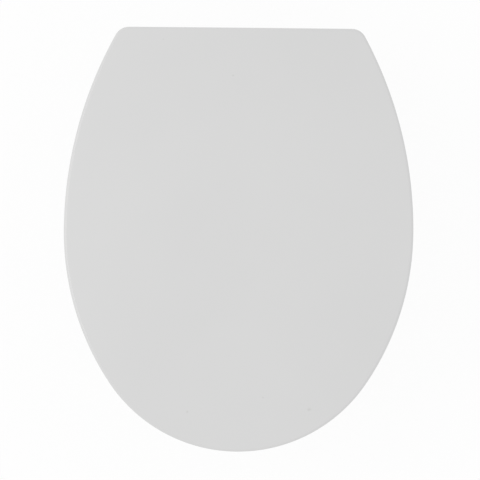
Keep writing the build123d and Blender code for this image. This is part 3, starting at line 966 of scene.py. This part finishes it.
def sealingCone(name, x):
    size = coneShape
    node = "sealing_cone_" + name
    low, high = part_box(node)
    rim, bore = (high.x - low.x) / 2, size["bore"]
    section = [(bore, low.z), (rim, low.z), (rim, size["shoulderZ"]), (size["tip"], high.z), (bore, high.z)]
    dress(turned(name + "_cone", softened(section, size["round"]), x), node, "base")


nutShape = {
    "bore": threadBore,
    "hubTop": 9 * mm,
    "hubEnd": 7.5 * mm,
    "hubHeight": 10 * mm,
    "hubRound": 0.9 * mm,
    "wingRoot": 4 * mm,
    "wingTip": 4.5 * mm,
    "wingReach": 15 * mm,
    "wingDrop": 8 * mm,
    "wingThickness": 3 * mm,
    "wingRound": 1.1 * mm,
}


def wingNut(name, x):
    size = nutShape
    node = "wing_nut_" + name
    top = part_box(node)[1].z
    base = top - size["hubHeight"]
    rootZ, bore, half = (top + base) / 2, size["bore"], size["wingThickness"] / 2
    section = [(bore, base), (size["hubEnd"], base), (size["hubTop"], top), (bore, top)]
    nut = turned(name + "_wing_nut", softened(section, size["hubRound"]), x)
    for side in sideSigns.values():
        root = (x + side * (size["wingRoot"] + bore), rootZ, size["wingRoot"])
        tip = (x + side * size["wingReach"], rootZ - size["wingDrop"], size["wingTip"])
        wing = prism("wing", hullOf(tip, root), -half, 2 * half, size["wingRound"], along="y")
        carve(nut, wing, "UNION")
    dress(nut, node, "base")


studShape = {
    "shankRadius": 4 * mm,
    "shankTopZ": 2 * mm,
    "shankEndZ": -15 * mm,
    "shankRound": 0.4 * mm,
    "roundMiddle": 0.3,  # how far in that rounding's middle lies, as a share of it
    "seatRadius": 3.6 * mm,
    "crest": 3.95 * mm,
    "root": 3.3 * mm,
    "pitch": 1.25 * mm,
    "ridgeSlope": 1.3,  # flanks steeper than 1 leave flats on the crests
    "ridgeDip": 0.15,  # and this leaves flats in the roots
    "rowsPerPitch": 10,
    "columns": 40,
    "plain": 3.5 * mm,
    "runOut": 1.6 * mm,
    "endChamfer": 1 * mm,
    "sharpAngle": 50,
}


def fixingStud(name, x):
    size = studShape
    node = "fixing_stud_" + name
    low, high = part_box(node)
    turns = [2 * pi * k / size["columns"] for k in range(size["columns"])]
    topZ, endZ, root, plain = size["shankTopZ"], size["shankEndZ"], size["root"], size["plain"]

    def circle(radius, z):
        return [Vector((x + radius * cos(turn), radius * sin(turn), z)) for turn in turns]

    def threadRow(z):  # one row of points across the thread's ridges
        fade = min(1, (endZ - z) / size["runOut"], (z - low.z) / size["runOut"])
        row = []
        for k, turn in enumerate(turns):
            phase = (z / size["pitch"] + k / size["columns"]) % 1
            ridge = min(1, max(0, size["ridgeSlope"] * (1 - abs(2 * phase - 1)) - size["ridgeDip"]))
            radius = root + (size["crest"] - root) * ridge
            radius = plain + (radius - plain) * max(0, fade)
            radius -= max(0, size["endChamfer"] - (z - low.z))
            row.append(Vector((x + radius * cos(turn), radius * sin(turn), z)))
        return row

    seat, shank, small = size["seatRadius"], size["shankRadius"], size["shankRound"]
    inset = size["roundMiddle"] * small
    loops = [circle(seat, high.z), circle(seat, topZ), circle(shank, topZ)]
    loops += [circle(shank, endZ + small), circle(shank - inset, endZ + inset), circle(shank - small, endZ)]
    rows = ceil((endZ - low.z) / size["pitch"] * size["rowsPerPitch"])
    loops += [threadRow(endZ + (low.z - endZ) * k / rows) for k in range(rows + 1)]
    dress(solidPiece(name + "_stud", loops), node, "base", size["sharpAngle"])


for sideName, sideSign in sideSigns.items():
    castBracket(sideName)
    baseGasket(sideName, sideSign * fixingX)
    sealingCone(sideName, sideSign * fixingX)
    studWasher(sideName, sideSign * fixingX)
    wingNut(sideName, sideSign * fixingX)
    fixingStud(sideName, sideSign * fixingX)
print("brackets and fixings made")


# Camera, floor, light and sky, in metres

cameraView = {
    "lens": 100,
    "height": 1.4058,  # above the lid
    "aim": (1.6 * mm, -180.8 * mm),
    "turn": 0.55,
}


def setCamera():
    lens = bpy.data.cameras.new("camera")
    lens.lens = cameraView["lens"]
    camera = bpy.data.objects.new("camera", lens)
    x, y = cameraView["aim"]
    camera.location = (x, y, lidHigh.z + cameraView["height"])
    camera.rotation_euler = (0, 0, radians(cameraView["turn"]))
    bpy.context.scene.collection.objects.link(camera)
    bpy.context.scene.camera = camera


def seenDirectly(wire):  # camera, mirror and glass rays
    camera = wire.node("LightPath", output="Is Camera Ray")
    glossy = wire.node("LightPath", output="Is Glossy Ray")
    glass = wire.node("LightPath", output="Is Transmission Ray")
    return wire.maths("MAXIMUM", wire.maths("MAXIMUM", camera, glossy), glass)


plainWhite = (1, 1, 1, 1)
floorLook = {
    "drop": 80 * mm,  # room for the lid when it is folded right back
    "size": 8.0,
    "paper": (0.97, 0.97, 0.97, 1),
    "shown": 0.93,  # share of plain white near the object; the rest keeps its shadow
    "fadeStart": 0.25,
    "fadeEnd": 0.8,
}
floorZ = cadBox[0].z - floorLook["drop"]


def floorFinish():
    look = floorLook
    material = bpy.data.materials.new("floor paper")
    material.use_nodes = True
    material.node_tree.nodes.clear()
    wire = Wire(material.node_tree)
    paper = wire.node("BsdfDiffuse", {}, {"Color": look["paper"]})
    white = wire.node("Emission", {}, {"Color": plainWhite, "Strength": 1.0})
    place = wire.node("TexCoord", output="Object")
    away = distance(wire, place, (*cameraView["aim"], floorZ))
    shown = ramped(wire, away, look["fadeStart"], look["fadeEnd"], look["shown"], 1.0, "SMOOTHSTEP")
    mixed = wire.node("MixShader", {}, {0: shown * seenDirectly(wire), 1: paper, 2: white})
    wire.node("OutputMaterial", {}, {"Surface": mixed})
    return material


def layFloor():
    shape = bmesh.new()
    half = floorLook["size"] / 2
    corners = [(-half, -half), (half, -half), (half, half), (-half, half)]
    shape.faces.new([shape.verts.new((x, y, floorZ)) for x, y in corners])
    floor = newPiece("floor", shape)
    floor.data.materials.append(floorFinish())


keyLook = {"power": 4.4, "size": 1.4, "angle": 176, "zenith": 42, "reach": 1.6}


def keyLight():  # a large soft lamp to the left of the lid
    lamp = bpy.data.lights.new("key", "AREA")
    lamp.shape = "DISK"
    lamp.size = keyLook["size"]
    lamp.energy = keyLook["power"]
    holder = bpy.data.objects.new("key", lamp)
    turn, tilt = radians(keyLook["angle"]), radians(keyLook["zenith"])
    away = Vector((sin(tilt) * cos(turn), sin(tilt) * sin(turn), cos(tilt)))
    aim = Vector((*cameraView["aim"], lidHigh.z))
    holder.location = aim + keyLook["reach"] * away
    holder.rotation_euler = away.to_track_quat("Z", "Y").to_euler()
    bpy.context.scene.collection.objects.link(holder)


skyLevel = 0.785


def whiteSky():
    world = bpy.data.worlds.new("white sky")
    world.use_nodes = True
    world.node_tree.nodes.clear()
    wire = Wire(world.node_tree)
    soft = wire.node("Background", {}, {"Color": plainWhite, "Strength": skyLevel})
    white = wire.node("Background", {}, {"Color": plainWhite, "Strength": 1.0})
    mixed = wire.node("MixShader", {}, {0: seenDirectly(wire), 1: soft, 2: white})
    wire.node("OutputWorld", {}, {"Surface": mixed})
    return world


layFloor()
keyLight()
setCamera()
bpy.context.scene.world = whiteSky()
bpy.context.scene.view_settings.view_transform = "Standard"
print("stage set")
